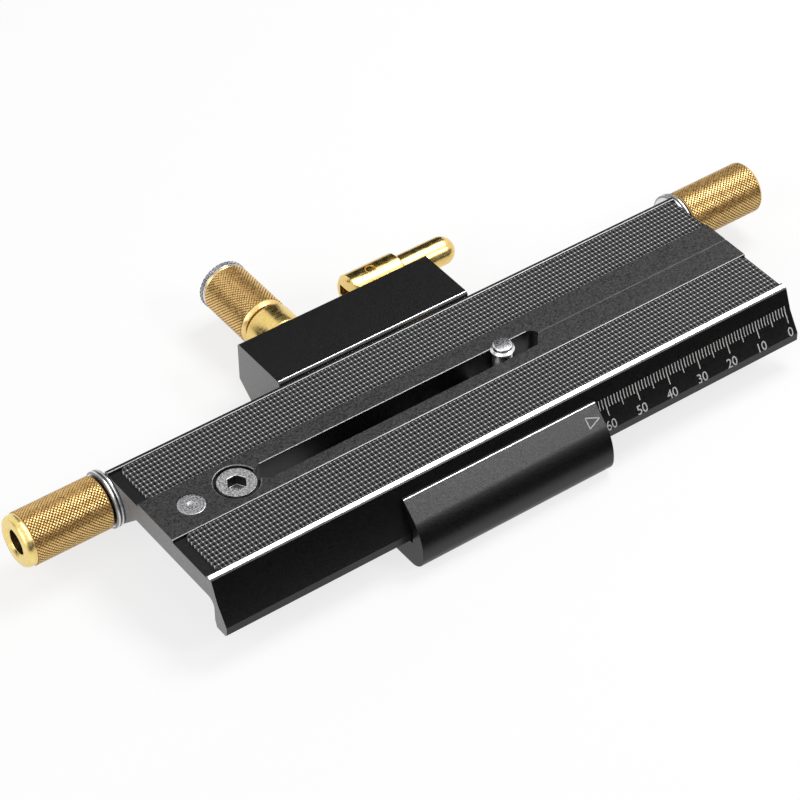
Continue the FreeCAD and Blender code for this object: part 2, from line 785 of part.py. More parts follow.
def pull_rod():
    start = f"({NUT_BACK} - rod_seat + seat_gap)"
    rod = drill("rod_round", "y", "rod_radius", f"{LEVER_Y} - {start}", NUT_X, start, LEVER_Z)
    flat_from = f"({BLOCK_BACK} - lift - slide_gap)"
    wide = "(2 * rod_radius)"
    top, low = f"{LEVER_Z} + rod_flat / 2", f"{LEVER_Z} - rod_flat / 2"
    flats = [
        box(
            f"rod_flat_{name}",
            (f"{NUT_X} - {wide}", flat_from, bottom),
            (f"{NUT_X} + {wide}", f"{LEVER_Y} + {wide}", f"{bottom} + {wide}"),
        )
        for name, bottom in (("over", top), ("under", f"{low} - {wide}"))
    ]
    eye = drill("rod_eye", "z", "eye_radius", "rod_flat", NUT_X, LEVER_Y, low)
    hole = drill(
        "rod_pin_hole", "z", "pin_radius + seat_gap", "4 * rod_flat",
        NUT_X, LEVER_Y, f"{LEVER_Z} - 2 * rod_flat",
    )
    shaped = joined("rod_with_eye", [cut("rod_flattened", rod, flats), eye])
    return cut("pull_rod", shaped, [hole])


def half_nut_spring():
    """A coil spring round the pull rod, swept along quarter turns, that holds the half nut in mesh."""
    start = number(NUT_BACK) + number("slide_gap") + number("spring_wire / 2")
    stop = number(SPRING_END) - number("slide_gap") - number("spring_wire / 2")
    radius, turns = number("spring_radius"), int(number("spring_turns"))
    steps = 4 * turns

    def spot(step):
        angle = step * math.pi / 2
        along = start + (stop - start) * step / steps
        return Vector(radius * math.cos(angle), along, radius * math.sin(angle))

    arcs = [Part.Arc(spot(step), spot(step + 0.5), spot(step + 1)).toShape() for step in range(steps)]
    path = Part.Wire(arcs)
    first = path.Edges[0].tangentAt(0)
    across_wire = Part.Wire(Part.makeCircle(number("spring_wire / 2"), spot(0), first))
    made = doc.addObject("Part::Feature", "half_nut_spring")
    made.Shape = path.makePipeShell([across_wire], True, False)
    return place(made, NUT_X, "0", LEVER_Z)


# Release lever: polished brass, a thick body with an off-centre heel and a thinner handle. Swung out,
# its heel rolls on the block's back face and draws the half nut clear of the screw.
def release_lever():
    handle_end = "(lever_shoulder + handle_length)"
    blank = turned("lever_blank", [
        ("-lever_tail", "0"),
        (handle_end, "0", "handle_radius", 1),
        (f"{handle_end} - handle_radius", "handle_radius"),
        ("lever_shoulder", "handle_radius"),
        ("lever_shoulder", "lever_radius - lever_bevel"),
        ("lever_shoulder - lever_bevel", "lever_radius"),
        ("-(lever_tail - lever_bevel)", "lever_radius"),
        ("-lever_tail", "lever_radius - lever_bevel"),
    ])
    place(blank, NUT_X, LEVER_Y, LEVER_Z)
    clear = "(eye_radius + slot_margin)"
    far = "(2 * lever_radius + lever_tail)"
    gap = "(rod_flat / 2 + tongue_gap)"
    tongue_slot = box(
        "tongue_slot",
        (f"{NUT_X} - {far}", f"{LEVER_Y} - {far}", f"{LEVER_Z} - {gap}"),
        (f"{NUT_X} + {clear}", f"{LEVER_Y} + {clear}", f"{LEVER_Z} + {gap}"),
    )
    offset = "(lift / 2)"
    heel_x, heel_y = f"{NUT_X} - {offset}", f"{LEVER_Y} + {offset}"
    corner = box(
        "heel_corner",
        (f"{NUT_X} - {far}", f"{LEVER_Y} - {far}", f"{LEVER_Z} - {far}"),
        (heel_x, heel_y, f"{LEVER_Z} + {far}"),
    )
    low, deep = f"{LEVER_Z} - {far}", f"2 * {far}"
    heel = drill("heel_round", "z", f"lever_radius + {offset}", deep, heel_x, heel_y, low)
    trimmed = cut("heel_trim", corner, [heel])
    hole = drill("lever_pin_hole", "z", "pin_radius + seat_gap", deep, NUT_X, LEVER_Y, low)
    return cut("release_lever", blank, [tongue_slot, trimmed, hole])


def lever_pin():
    half = "(lever_radius - pin_sink)"
    return drill("lever_pin", "z", "pin_radius", f"2 * {half}", NUT_X, LEVER_Y, f"{LEVER_Z} - {half}")


# Lock: a brass pad faces the plate's rear foot, pushed by a spindle that turns in a brass bush with a
# polished collar; the knurled knob and its steel end ring sit on the spindle
def brake_pad():
    half = "(pad_length / 2)"
    return box(
        "brake_pad",
        (f"{LOCK_X} - {half}", PAD_FRONT, f"{LOCK_Z} - pad_height / 2"),
        (f"{LOCK_X} + {half}", PAD_BACK, f"{LOCK_Z} + pad_height / 2"),
    )


def on_lock(body, start):
    return place(body, LOCK_X, start, LOCK_Z, ALONG_Y)


def lock_bush():
    bore = "(spindle_radius + running_gap)"
    length = "(shank_length + collar_length)"
    body = turned("lock_bush", [
        ("0", bore),
        (length, bore),
        (length, "collar_radius - collar_bevel"),
        (f"{length} - collar_bevel", "collar_radius"),
        ("shank_length", "collar_radius"),
        ("shank_length", "shank_radius"),
        ("0", "shank_radius"),
    ])
    return on_lock(body, SHANK_Y)


def lock_spindle():
    start = f"({PAD_BACK} + seat_gap)"
    length = f"({KNOB_Y} + spindle_hold - {start})"
    body = turned("lock_spindle", [
        ("0", "0"),
        (length, "0"),
        (length, "spindle_radius"),
        ("tip_length", "spindle_radius"),
        ("tip_length", "tip_radius"),
        ("0", "tip_radius"),
    ])
    return on_lock(body, start)


def lock_knob():
    bore = "(spindle_radius + seat_gap)"
    deep = "(spindle_hold + seat_gap)"
    well = "(lock_knob_length - spigot_length - seat_gap)"
    body = turned("lock_knob", [
        ("0", bore),
        (deep, bore),
        (deep, "0"),
        (well, "0"),
        (well, "spigot_radius + seat_gap"),
        ("lock_knob_length", "spigot_radius + seat_gap"),
        ("lock_knob_length", "lock_knob_radius - knob_root_bevel"),
        ("lock_knob_length - knob_root_bevel", "lock_knob_radius"),
        ("knob_bevel", "lock_knob_radius"),
        ("0", "lock_knob_radius - knob_bevel"),
    ])
    return on_lock(body, KNOB_Y)


def lock_knob_ring():
    body = turned("lock_knob_ring", [
        ("-spigot_length", "0"),
        ("ring_length", "0"),
        ("ring_length", "ring_radius - ring_bevel"),
        ("ring_length - ring_bevel", "ring_radius"),
        ("ring_bevel", "ring_radius"),
        ("0", "ring_radius - ring_bevel"),
        ("0", "spigot_radius"),
        ("-spigot_length", "spigot_radius"),
    ])
    return on_lock(body, f"({KNOB_Y} + lock_knob_length)")


pieces = [
    base_body(),
    tripod_insert(),
    front_gib(),
    runner("front_runner", "front_runner_width", FRONT_RUNNER_Y),
    runner("rear_runner", "rear_runner_width", "rear_runner_at"),
    half_nut(),
    pull_rod(),
    half_nut_spring(),
    lever_pin(),
    release_lever(),
    brake_pad(),
    lock_bush(),
    lock_spindle(),
    lock_knob(),
    lock_knob_ring(),
    top_plate(),
    grip_strip("front_grip_strip", "-strip_front_out", "-channel_half"),
    grip_strip("rear_grip_strip", "channel_half", "strip_rear_out"),
    spare_screw(),
    plate_plug(),
    camera_screw(),
    camera_screw_washer(),
    lead_screw(),
    knob_screws(),
]
for end in ("left", "right"):
    pieces += [screw_bush(end), thrust_washer(end), knob_washer(end), rail_knob(end)]

doc.recompute()
for item in doc.Objects:
    if "Invalid" in item.State or "Error" in item.State:
        raise RuntimeError(f"{item.Label} did not compute: {item.State}")
for piece in pieces:
    if piece.Shape.isNull() or not piece.Shape.isValid() or not piece.Shape.Solids:
        raise RuntimeError(f"{piece.Label} has no valid solid")

os.makedirs("parts", exist_ok=True)
for piece in pieces:
    piece.Shape.exportStep(f"parts/{piece.Label}.step")
print(len(pieces), "pieces")
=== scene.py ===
import math

import bmesh
import bpy
from mathutils import Matrix, Vector


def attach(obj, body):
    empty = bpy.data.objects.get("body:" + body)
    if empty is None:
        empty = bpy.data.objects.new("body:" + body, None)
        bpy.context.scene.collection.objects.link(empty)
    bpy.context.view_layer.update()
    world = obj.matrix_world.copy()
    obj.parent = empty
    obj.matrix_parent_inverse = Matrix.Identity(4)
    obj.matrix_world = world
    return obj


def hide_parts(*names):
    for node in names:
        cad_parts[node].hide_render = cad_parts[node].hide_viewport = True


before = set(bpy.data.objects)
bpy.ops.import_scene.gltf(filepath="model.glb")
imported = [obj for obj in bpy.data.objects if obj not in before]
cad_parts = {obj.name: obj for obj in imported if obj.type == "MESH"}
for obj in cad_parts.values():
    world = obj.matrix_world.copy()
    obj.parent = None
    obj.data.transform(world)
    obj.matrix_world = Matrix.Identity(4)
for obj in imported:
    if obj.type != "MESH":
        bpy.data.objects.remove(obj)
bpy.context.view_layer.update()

# Sizes below are in millimetres and MM takes them to metres: X along the rail, Y towards the block,
# Z up.
MM = 0.001


# Camera: where the photographer stood, left of and above the front and over 0.8 m away, with a
# long lens. It is rolled by a degree, as it was for the photo.
lens = bpy.data.cameras.new("photo_view")
lens.sensor_width = 36
lens.lens = 145.6
lens.clip_start = 0.01
lens.clip_end = 10
viewer = bpy.data.objects.new("photo_view", lens)
viewer.rotation_mode = "QUATERNION"
sideways, upwards, roll = math.radians(-35.2069), math.radians(42.1001), math.radians(-1.0562)
looking_back = Vector((
    math.sin(sideways) * math.cos(upwards), -math.cos(sideways) * math.cos(upwards), math.sin(upwards)
))
viewer.location = Vector((-359.616, -493.359, 568.323)) * MM
viewer.rotation_quaternion = (
    Matrix.Rotation(roll, 3, looking_back) @ (-looking_back).to_track_quat("-Z", "Y").to_matrix()
).to_quaternion()
bpy.context.collection.objects.link(viewer)
bpy.context.scene.camera = viewer


# Base: one black anodised aluminium extrusion, sawn to length and machined, with a rounded jaw in
# front and a deep block behind. A cutter breaks its edges, and the upper ones that face forward
# are given bright metal, part bare cut metal and part painted highlight where they face the lamps.
# The saw's faces on the block are left paler, part bare sawn face and part painted light from the
# lamp at the left.
def finish(name, light, dark, rough, metal, stretch, fineness, bump, specular=0.5):
    """A finish whose colour, gloss and surface vary with a noise stretched along the grain. The mix
    node's sockets 6 and 7 are its two colours and its output 2 is their mix."""
    material = bpy.data.materials.new(name)
    material.use_nodes = True
    nodes, link = material.node_tree.nodes, material.node_tree.links.new
    shader = nodes["Principled BSDF"]
    shader.inputs["Metallic"].default_value = metal
    shader.inputs["Specular IOR Level"].default_value = specular
    coordinates = nodes.new("ShaderNodeTexCoord")
    turn = nodes.new("ShaderNodeMapping")
    turn.inputs["Scale"].default_value = stretch
    grain = nodes.new("ShaderNodeTexNoise")
    grain.inputs["Scale"].default_value = fineness
    grain.inputs["Detail"].default_value = 5
    spread = nodes.new("ShaderNodeMapRange")
    spread.inputs["From Min"].default_value = 0.32
    spread.inputs["From Max"].default_value = 0.68
    tint = nodes.new("ShaderNodeMix")
    tint.name = "tint"
    tint.data_type = "RGBA"
    tint.inputs[6].default_value = (*dark, 1)
    tint.inputs[7].default_value = (*light, 1)
    gloss = nodes.new("ShaderNodeMapRange")
    gloss.inputs["To Min"].default_value, gloss.inputs["To Max"].default_value = rough
    relief = nodes.new("ShaderNodeBump")
    relief.name = "relief"
    relief.inputs["Strength"].default_value = bump
    relief.inputs["Distance"].default_value = 0.05 * MM
    link(coordinates.outputs["Object"], turn.inputs["Vector"])
    link(turn.outputs["Vector"], grain.inputs["Vector"])
    link(grain.outputs["Fac"], spread.inputs["Value"])
    link(spread.outputs["Result"], tint.inputs["Factor"])
    link(spread.outputs["Result"], gloss.inputs["Value"])
    link(grain.outputs["Fac"], relief.inputs["Height"])
    link(tint.outputs[2], shader.inputs["Base Color"])
    link(gloss.outputs["Result"], shader.inputs["Roughness"])
    link(relief.outputs["Normal"], shader.inputs["Normal"])
    return material


def piece(name, shape, body, finishes, nodes, even=False):
    """Makes a shape an object that rides on a body in place of CAD nodes. Its finishes fill the
    material slots in their order, and even keeps broad faces flat beside their broken edges."""
    mesh = bpy.data.meshes.new(name)
    shape.to_mesh(mesh)
    shape.free()
    for material in finishes:
        mesh.materials.append(material)
    mesh.polygons.foreach_set("use_smooth", [True] * len(mesh.polygons))
    mesh.set_sharp_from_angle(angle=math.radians(32))
    made = bpy.data.objects.new(name, mesh)
    bpy.context.collection.objects.link(made)
    if even:
        weights = made.modifiers.new("even_faces", "WEIGHTED_NORMAL")
        weights.keep_sharp = True
    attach(made, body)
    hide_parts(*nodes)


def machined(node, edge, wider=None, width=0.0):
    """A CAD piece's shape with its corners broken by a small bevel. The lines that pass the test
    called wider are broken first, by their own width."""
    shape = bmesh.new()
    shape.from_mesh(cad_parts[node].data)
    bmesh.ops.remove_doubles(shape, verts=shape.verts, dist=0.001 * MM)
    bmesh.ops.dissolve_limit(
        shape, angle_limit=math.radians(0.5), verts=shape.verts, edges=shape.edges
    )
    if wider:
        chosen = [
            line for line in shape.edges
            if line.calc_face_angle(0) > math.radians(35) and wider(line)
        ]
        first = bmesh.ops.bevel(
            shape, geom=chosen, offset=width * MM, offset_type="OFFSET", affect="EDGES",
            segments=2, profile=0.5, clamp_overlap=False, material=-1,
        )["faces"]
        for face in first:
            face.tag = True
    corners = [
        line for line in shape.edges
        if line.calc_face_angle(0) > math.radians(25) and not any(face.tag for face in line.link_faces)
    ]
    bmesh.ops.bevel(
        shape, geom=corners, offset=edge * MM, offset_type="OFFSET", affect="EDGES",
        segments=2, profile=0.5, clamp_overlap=True, material=-1,
    )
    return shape


def faces_forward(shape, above):
    """The faces above a height that run along the rail and look up and forward."""
    return [
        face for face in shape.faces
        if face.normal.y < -0.15 and face.normal.z > 0.4 and abs(face.normal.x) < 0.2
        and face.calc_center_median().z > above * MM
    ]


def ends_across(shape):
    """The faces where the saw went through the extrusion, square to the rail."""
    return [face for face in shape.faces if abs(face.normal.x) > 0.95]


def split_across(shape, faces, at):
    """Cuts faces in two by an upright plane along the rail, at a place across it."""
    cut = {part for face in faces for part in [*face.verts, *face.edges, face]}
    bmesh.ops.bisect_plane(shape, geom=list(cut), plane_co=(0, at * MM, 0), plane_no=(0, 1, 0))


black_anodised = finish(
    "black_anodised", (0.005, 0.0048, 0.005), (0.001, 0.001, 0.001), (0.3, 0.42), 0,
    (0.5, 1, 1), 4200, 0.3, 0.42,
)
bare_edge_and_painted_highlight = finish(
    "bare_edge_and_painted_highlight", (0.93, 0.93, 0.94), (0.8, 0.8, 0.81), (0.25, 0.4), 0.85, (0.1, 1, 1), 3000, 0.1
)
# Sawn ends: paler partly as bare sawn faces and partly as painted light from the lamp at the left.
sawn_end_and_painted_light = finish(
    "sawn_end_and_painted_light", (0.26, 0.257, 0.26), (0.12, 0.118, 0.12), (0.35, 0.5), 0, (1, 0.6, 1), 4200, 0.4, 0.5
)
BARE_EDGE_AND_HIGHLIGHT, SAWN_AND_PAINTED_LIGHT = 1, 2
HIGHLIGHT_ABOVE = 18.7
shape = machined("base_body", 0.16)
split_across(shape, ends_across(shape), 0)
for face in ends_across(shape):
    if face.calc_center_median().y > 0:
        face.material_index = SAWN_AND_PAINTED_LIGHT
# Faces turned up and forward get the bright finish: bare cut metal, and a painted highlight where they
# face the lamps.
for face in faces_forward(shape, HIGHLIGHT_ABOVE):
    face.material_index = BARE_EDGE_AND_HIGHLIGHT
piece(
    "base_block", shape, "base", [black_anodised, bare_edge_and_painted_highlight, sawn_end_and_painted_light],
    ["base_body"], True,
)


# Pointer: an outlined triangle engraved on the jaw's slope and filled with pale paint, beside the
# scale. It is three thin bars laid on the slope.
scale_paint = finish(
    "scale_paint", (0.58, 0.57, 0.56), (0.28, 0.275, 0.27), (0.5, 0.7), 0, (1, 1, 1), 5000, 0.1
)


def bar(shape, start, end, width, normal, height=0.06):
    """A thin bar between two points on a face, half sunk in it."""
    along = (end - start) * MM
    turn = Matrix.Identity(3)
    turn.col[0] = along.normalized()
    turn.col[2] = normal.normalized()
    turn.col[1] = turn.col[2].cross(turn.col[0])
    turn.col[0] = turn.col[1].cross(turn.col[2])
    size = Matrix.Diagonal((along.length, width * MM, height * MM, 1))
    bmesh.ops.create_cube(
        shape, size=1, matrix=Matrix.Translation((start + end) * MM / 2) @ turn.to_4x4() @ size
    )


SLOPE = {
    "top": Vector((0, -26.786, 19)),
    "down": Vector((0, -0.730, -0.683)),
    "outward": Vector((0, -0.683, 0.730)),
}
POINTER_LEFT, POINTER_RIGHT, POINTER_DOWN, POINTER_HALF, LINE_WIDTH = 25.3, 29.1, 4.0, 1.5, 0.3
corners = [
    SLOPE["top"] + Vector((across, 0, 0)) + SLOPE["down"] * down
    for across, down in (
        (POINTER_LEFT, POINTER_DOWN - POINTER_HALF),
        (POINTER_RIGHT, POINTER_DOWN),
        (POINTER_LEFT, POINTER_DOWN + POINTER_HALF),
    )
]
shape = bmesh.new()
for start, end in zip(corners, corners[1:] + corners[:1]):
    bar(shape, start, end, LINE_WIDTH, SLOPE["outward"])
piece("scale_pointer", shape, "base", [scale_paint], [])


# Tripod insert: a flanged steel bush pressed into the floor from above, with a coarse inch thread
# cut in its bore. The thread is one ridge that winds up the bore.
def steel_finish(name, light, dark, rough, bump=0.15):
    """Bare steel, whose grain runs no special way."""
    return finish(name, light, dark, rough, 1, (1, 1, 1), 2500, bump)


def wound_ridge(root, crest, pitch, turns, steps=32):
    """A thread: a triangular ridge wound round the X axis, its root just inside what carries it."""
    shape = bmesh.new()
    corners = []
    for turn in range(turns):
        row = [
            shape.verts.new(Vector((pitch * (turn + along), radius, 0)) * MM)
            for along, radius in ((0.02, root), (0.5, crest), (0.98, root))
        ]
        lines = [shape.edges.new((row[side], row[side - 1])) for side in range(3)]
        corners += row + lines
    bmesh.ops.spin(
        shape, geom=corners, cent=(0, 0, 0), axis=(1, 0, 0), dvec=(pitch * MM / steps, 0, 0),
        angle=2 * math.pi, steps=steps, use_merge=False, use_duplicate=False,
    )
    bmesh.ops.remove_doubles(shape, verts=shape.verts, dist=0.001 * MM)
    open_ends = [line for line in shape.edges if len(line.link_faces) == 1]
    bmesh.ops.holes_fill(shape, edges=open_ends, sides=4)
    bmesh.ops.recalc_face_normals(shape, faces=shape.faces)
    return shape


def moved(shape, x=0, y=0, z=0, toward="x"):
    """Takes a shape made along its own X axis to its place, turned to point along another axis."""
    turn = {
        "x": Matrix.Identity(4),
        "-x": Matrix.Rotation(math.pi, 4, "Z"),
        "y": Matrix.Rotation(math.pi / 2, 4, "Z"),
        "z": Matrix.Rotation(-math.pi / 2, 4, "Y"),
    }[toward]
    place = Matrix.Translation(Vector((x, y, z)) * MM) @ turn
    bmesh.ops.transform(shape, matrix=place, verts=shape.verts)
    return shape


zinc_steel = steel_finish("zinc_steel", (0.62, 0.62, 0.63), (0.42, 0.42, 0.43), (0.25, 0.42))
piece(
    "tripod_insert_body", machined("tripod_insert", 0.2), "base",
    [zinc_steel], ["tripod_insert"], True,
)
INCH = 25.4
shape = wound_ridge(root=4.78, crest=3.95, pitch=INCH / 16, turns=4)
piece("tripod_thread", moved(shape, z=0.35, toward="z"), "base", [zinc_steel], [])


# Slide strips: pale slippery plastic, cut from flat stock and pressed into grooves in the base,
# where the plate's foot and lip run on them.
slide_plastic = finish(
    "slide_plastic", (0.74, 0.73, 0.69), (0.66, 0.65, 0.6), (0.35, 0.5), 0, (0.2, 1, 1), 1800, 0.1
)
for node in ("front_gib", "front_runner", "rear_runner"):
    piece(
        node + "_strip", machined(node, 0.08), "base", [slide_plastic], [node], True
    )


# Lock: a brass bush with a polished collar stands in the block's back. A steel spindle screws
# through it and pushes a brass pad at the plate's rear lip.
def turned(points, steps, rounding=0.0):
    """A solid turned about the X axis from (along, radius) corners, its ring edges rounded."""
    shape = bmesh.new()
    spots = [shape.verts.new(Vector((along, radius, 0)) * MM) for along, radius in points]
    lines = [shape.edges.new(pair) for pair in zip(spots, spots[1:])]
    if points[0][1] and points[-1][1]:
        lines.append(shape.edges.new((spots[-1], spots[0])))
    bmesh.ops.spin(
        shape, geom=spots + lines, cent=(0, 0, 0), axis=(1, 0, 0), dvec=(0, 0, 0),
        angle=2 * math.pi, steps=steps, use_merge=True, use_duplicate=False,
    )
    bmesh.ops.remove_doubles(shape, verts=shape.verts, dist=0.001 * MM)
    bmesh.ops.recalc_face_normals(shape, faces=shape.faces)
    if rounding:
        rings = [line for line in shape.edges if line.calc_face_angle(0) > math.radians(28)]
        bmesh.ops.bevel(
            shape, geom=rings, offset=rounding * MM, offset_type="OFFSET", affect="EDGES",
            segments=2, profile=0.5, clamp_overlap=True, material=-1,
        )
    return shape


brass_polished = finish(
    "brass_polished", (0.92, 0.7, 0.27), (0.8, 0.55, 0.17), (0.2, 0.3), 1, (0.3, 1, 1), 1500, 0.05
)
LOCK = {"x": -15.3, "z": 11.5, "toward": "y"}
shape = turned(
    [(0, 3.05), (16.2, 3.05), (16.2, 6.7), (15.7, 7.2), (8.2, 7.2), (8.0, 7.0), (8.0, 5.2), (0, 5.2)],
    96, 0.12,
)
piece(
    "lock_collar", moved(shape, y=38.3, **LOCK), "base",
    [brass_polished], ["lock_bush"],
)
shape = turned([(0, 0), (0, 2.4), (3, 2.4), (3, 3), (36.68, 3), (36.68, 0)], 48, 0.15)
piece(
    "lock_shaft", moved(shape, y=33.02, **LOCK), "lock_knob", [zinc_steel], ["lock_spindle"]
)
piece(
    "brake_shoe", machined("brake_pad", 0.2), "brake_pad",
    [brass_polished], ["brake_pad"], True,
)


# Lock knob: turned brass with a diamond knurl from end to end, and a steel ring with a coarser
# knurl screwed into its outer end, a narrow shadow gap between them.
def knurled(shape, skin, rise, bite):
    """Cuts a diamond knurl in the rings of faces at the skin's radius: each diamond stands up by the
    rise, and the bite is its groove's half width. The grooves get the second material, a darker copy
    of the first that paints the shade in them."""
    rings = {
        face for face in shape.faces
        if all(abs(spot.co.yz.length - skin * MM) < 0.002 * MM for spot in face.verts)
    }
    grid = {line for face in rings for line in face.edges}
    inner = [line for line in grid if rings.issuperset(line.link_faces)]
    middles = bmesh.ops.poke(shape, faces=list(rings))["verts"]
    bmesh.ops.dissolve_edges(shape, edges=inner, use_verts=False, use_face_split=False)
    diamonds = list({face for spot in middles for face in spot.link_faces})
    bmesh.ops.inset_individual(
        shape, faces=diamonds, thickness=bite * MM, depth=rise * MM, use_even_offset=True
    )
    tops = set(diamonds)
    for face in tops:
        for line in face.edges:
            for beside in line.link_faces:
                if beside not in tops:
                    beside.material_index = 1
    return shape


def knurl_stretch(low, high, radius, rows):
    """The profile corners of a stretch that will be knurled, one for each row of diamonds."""
    return [(low + (high - low) * row / rows, radius) for row in range(rows + 1)]


brass_knurled = finish(
    "brass_knurled", (0.95, 0.72, 0.33), (0.84, 0.57, 0.22), (0.24, 0.4), 1, (1, 1, 1), 1400, 0.15
)
# The knurl's groove faces get a darker copy of the brass: painted shade in the grooves.
brass_grooves_painted_shade = finish(
    "brass_grooves_painted_shade", (0.52, 0.33, 0.12), (0.24, 0.135, 0.05), (0.35, 0.55), 1, (1, 1, 1), 900, 0.2
)
GRIP_SKIN, RING_SKIN = 6.9, 6.92
shape = turned(
    [(0, 3.02), (0, 6.1), (0.9, 6.85)] + knurl_stretch(1.0, 18.2, GRIP_SKIN, 17)
    + [(18.35, 6.85), (18.8, 6.4), (18.8, 4.02), (15.78, 4.02), (15.78, 2.9), (14.02, 2.9), (14.02, 3.02)],
    44, 0.08,
)
knurled(shape, GRIP_SKIN, 0.2, 0.15)
piece(
    "lock_grip", moved(shape, y=55.7, **LOCK), "lock_knob",
    [brass_knurled, brass_grooves_painted_shade], ["lock_knob"],
)
bare_steel = steel_finish("bare_steel", (0.9, 0.9, 0.92), (0.75, 0.75, 0.77), (0.2, 0.34))
# The end ring's groove faces get a darker copy of the steel: painted shade in the grooves.
steel_grooves_painted_shade = steel_finish("steel_grooves_painted_shade", (0.45, 0.45, 0.46), (0.18, 0.18, 0.185), (0.35, 0.55), 0.25)
shape = turned(
    [(-3, 0), (-3, 4), (0, 4), (0, 6.3), (0.35, 6.8)] + knurl_stretch(0.4, 1.9, RING_SKIN, 2)
    + [(2.0, 6.8), (2.2, 6.4), (2.1, 4.6), (1.9, 4.3), (1.9, 0)],
    34, 0.06,
)
knurled(shape, RING_SKIN, 0.28, 0.2)
piece(
    "lock_end_ring", moved(shape, y=74.5, **LOCK), "lock_knob",
    [bare_steel, steel_grooves_painted_shade], ["lock_knob_ring"],
)


# Half nut: a brass block behind the lead screw, on a steel rod that runs out through the block's
# back, with a coil spring round the rod. All but the rod's end lie inside the block.
for node, edge, slot, metal in (
    ("half_nut", 0.15, "brass_polished", brass_polished),
    ("pull_rod", 0.1, "steel", zinc_steel),
):
    piece(node + "_part", machined(node, edge), "half_nut", [metal], [node], True)
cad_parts["half_nut_spring"].data.materials[0] = zinc_steel


# Release lever: one turned and polished brass piece, a thick body with a slot for the rod's eye and
# a thinner handle with a domed end. A brass pin through the body holds it on the rod.
piece(
    "lever_handle", machined("release_lever", 0.14), "release_lever",
    [brass_polished], ["release_lever"], True,
)
shape = turned(
    [(-5.25, 0), (-5.25, 1.2), (-5.0, 1.5), (5.0, 1.5), (5.25, 1.2), (5.25, 0)], 32, 0.05
)
piece(
    "lever_hinge_pin", moved(shape, 16.2, 52, 11.8, "z"), "half_nut",
    [brass_polished], ["lever_pin"],
)


# Camera plate: a long black anodised extrusion, its top machined flat, with two shallow grooves for
# the grip strips, a slot and an engraved centre line. The cutter that takes its front edge down
# leaves a bevel whose upper half is given a bright finish, and thin pale lines on the broken edges.
# On the bevel and on the edges that face forward the brightness is part bare cut metal and part
# painted highlight.
PLATE_TOP, CHANNEL_HALF, SLOT_END, WELL_X = 22.5, 8, 33, -60.9
BEVEL_REAR, HIGHLIGHT_SPLIT = -22, -24.05
SHINING_LINES = (-7.95, 21.35, 2.05)
MILLED, ENGRAVED, LINE_AND_HIGHLIGHT = 3, 4, 5


def from_well(place):
    """How far a place in millimetres is from the axis of the well for the spare screw."""
    return (place.xy - Vector((WELL_X, 0))).length


def on_well_edge(place):
    """Whether a place in millimetres is on the edge of that well."""
    return 5.5 < from_well(place) < 6.4


def lines_to_shine(line):
    """The groove, slot and well edges that a cutter broke more widely than the rest."""
    middle = sum((spot.co for spot in line.verts), Vector()) / 2 / MM
    if abs(middle.z - PLATE_TOP) > 0.02:
        return False
    return min(abs(middle.y - across) for across in SHINING_LINES) < 0.12 or on_well_edge(middle)


shape = machined("top_plate", 0.09, lines_to_shine, 0.3)
# The plate's sawn ends get the same paler finish, part bare sawn face and part painted light.
for face in ends_across(shape):
    face.material_index = SAWN_AND_PAINTED_LIGHT
for face in shape.faces:
    middle, up = face.calc_center_median() / MM, face.normal.z
    if up > 0.99 and middle.z > PLATE_TOP - 0.1 and abs(middle.y) < CHANNEL_HALF:
        face.material_index = MILLED
# Edges turned up and forward get the pale metal line finish, bare cut metal with a painted highlight; the
# well's broken edge gets it all round.
for face in faces_forward(shape, PLATE_TOP - 0.3):
    if face.calc_center_median().y > BEVEL_REAR * MM:
        face.material_index = LINE_AND_HIGHLIGHT
for face in shape.faces:
    middle, up = face.calc_center_median() / MM, face.normal.z
    if 0.3 < up < 0.99 and on_well_edge(middle):
        face.material_index = LINE_AND_HIGHLIGHT
    cut_in = middle.z < PLATE_TOP - 0.01 or up < 0.99
    if abs(middle.y) < 1 and middle.x > SLOT_END and middle.z > 20 and cut_in:
        face.material_index = ENGRAVED


def front_bevel(shape):
    """The faces of the bevel along the top's front edge."""
    return [
        face for face in shape.faces
        if face.normal.y < -0.28 and face.normal.z > 0.9
        and face.calc_center_median().y < BEVEL_REAR * MM
    ]


# The bevel is cut in two along the rail, and only its upper half gets the bright finish as a painted
# highlight; the lower half stays black.
split_across(shape, front_bevel(shape), HIGHLIGHT_SPLIT)
for face in front_bevel(shape):
    if face.calc_center_median().y > HIGHLIGHT_SPLIT * MM:
        face.material_index = BARE_EDGE_AND_HIGHLIGHT
cut_line_and_painted_highlight = finish(
    "cut_line_and_painted_highlight", (0.27, 0.27, 0.275), (0.16, 0.16, 0.165), (0.3, 0.45), 0.85, (0.1, 1, 1), 3000, 0.1
)
milled_top = finish(
    "milled_top", (0.06, 0.057, 0.058), (0.001, 0.001, 0.001), (0.36, 0.55), 0,
    (0.7, 1, 1), 3000, 0.5, 0.35,
)
engraved = finish(
    "engraved", (0.24, 0.235, 0.24), (0.15, 0.147, 0.15), (0.4, 0.55), 0, (0.2, 1, 1), 2000, 0.2, 0.4
)
piece(
    "long_plate", shape, "plate",
    [black_anodised, bare_edge_and_painted_highlight, sawn_end_and_painted_light, milled_top, engraved, cut_line_and_painted_highlight], ["top_plate"], True,
)


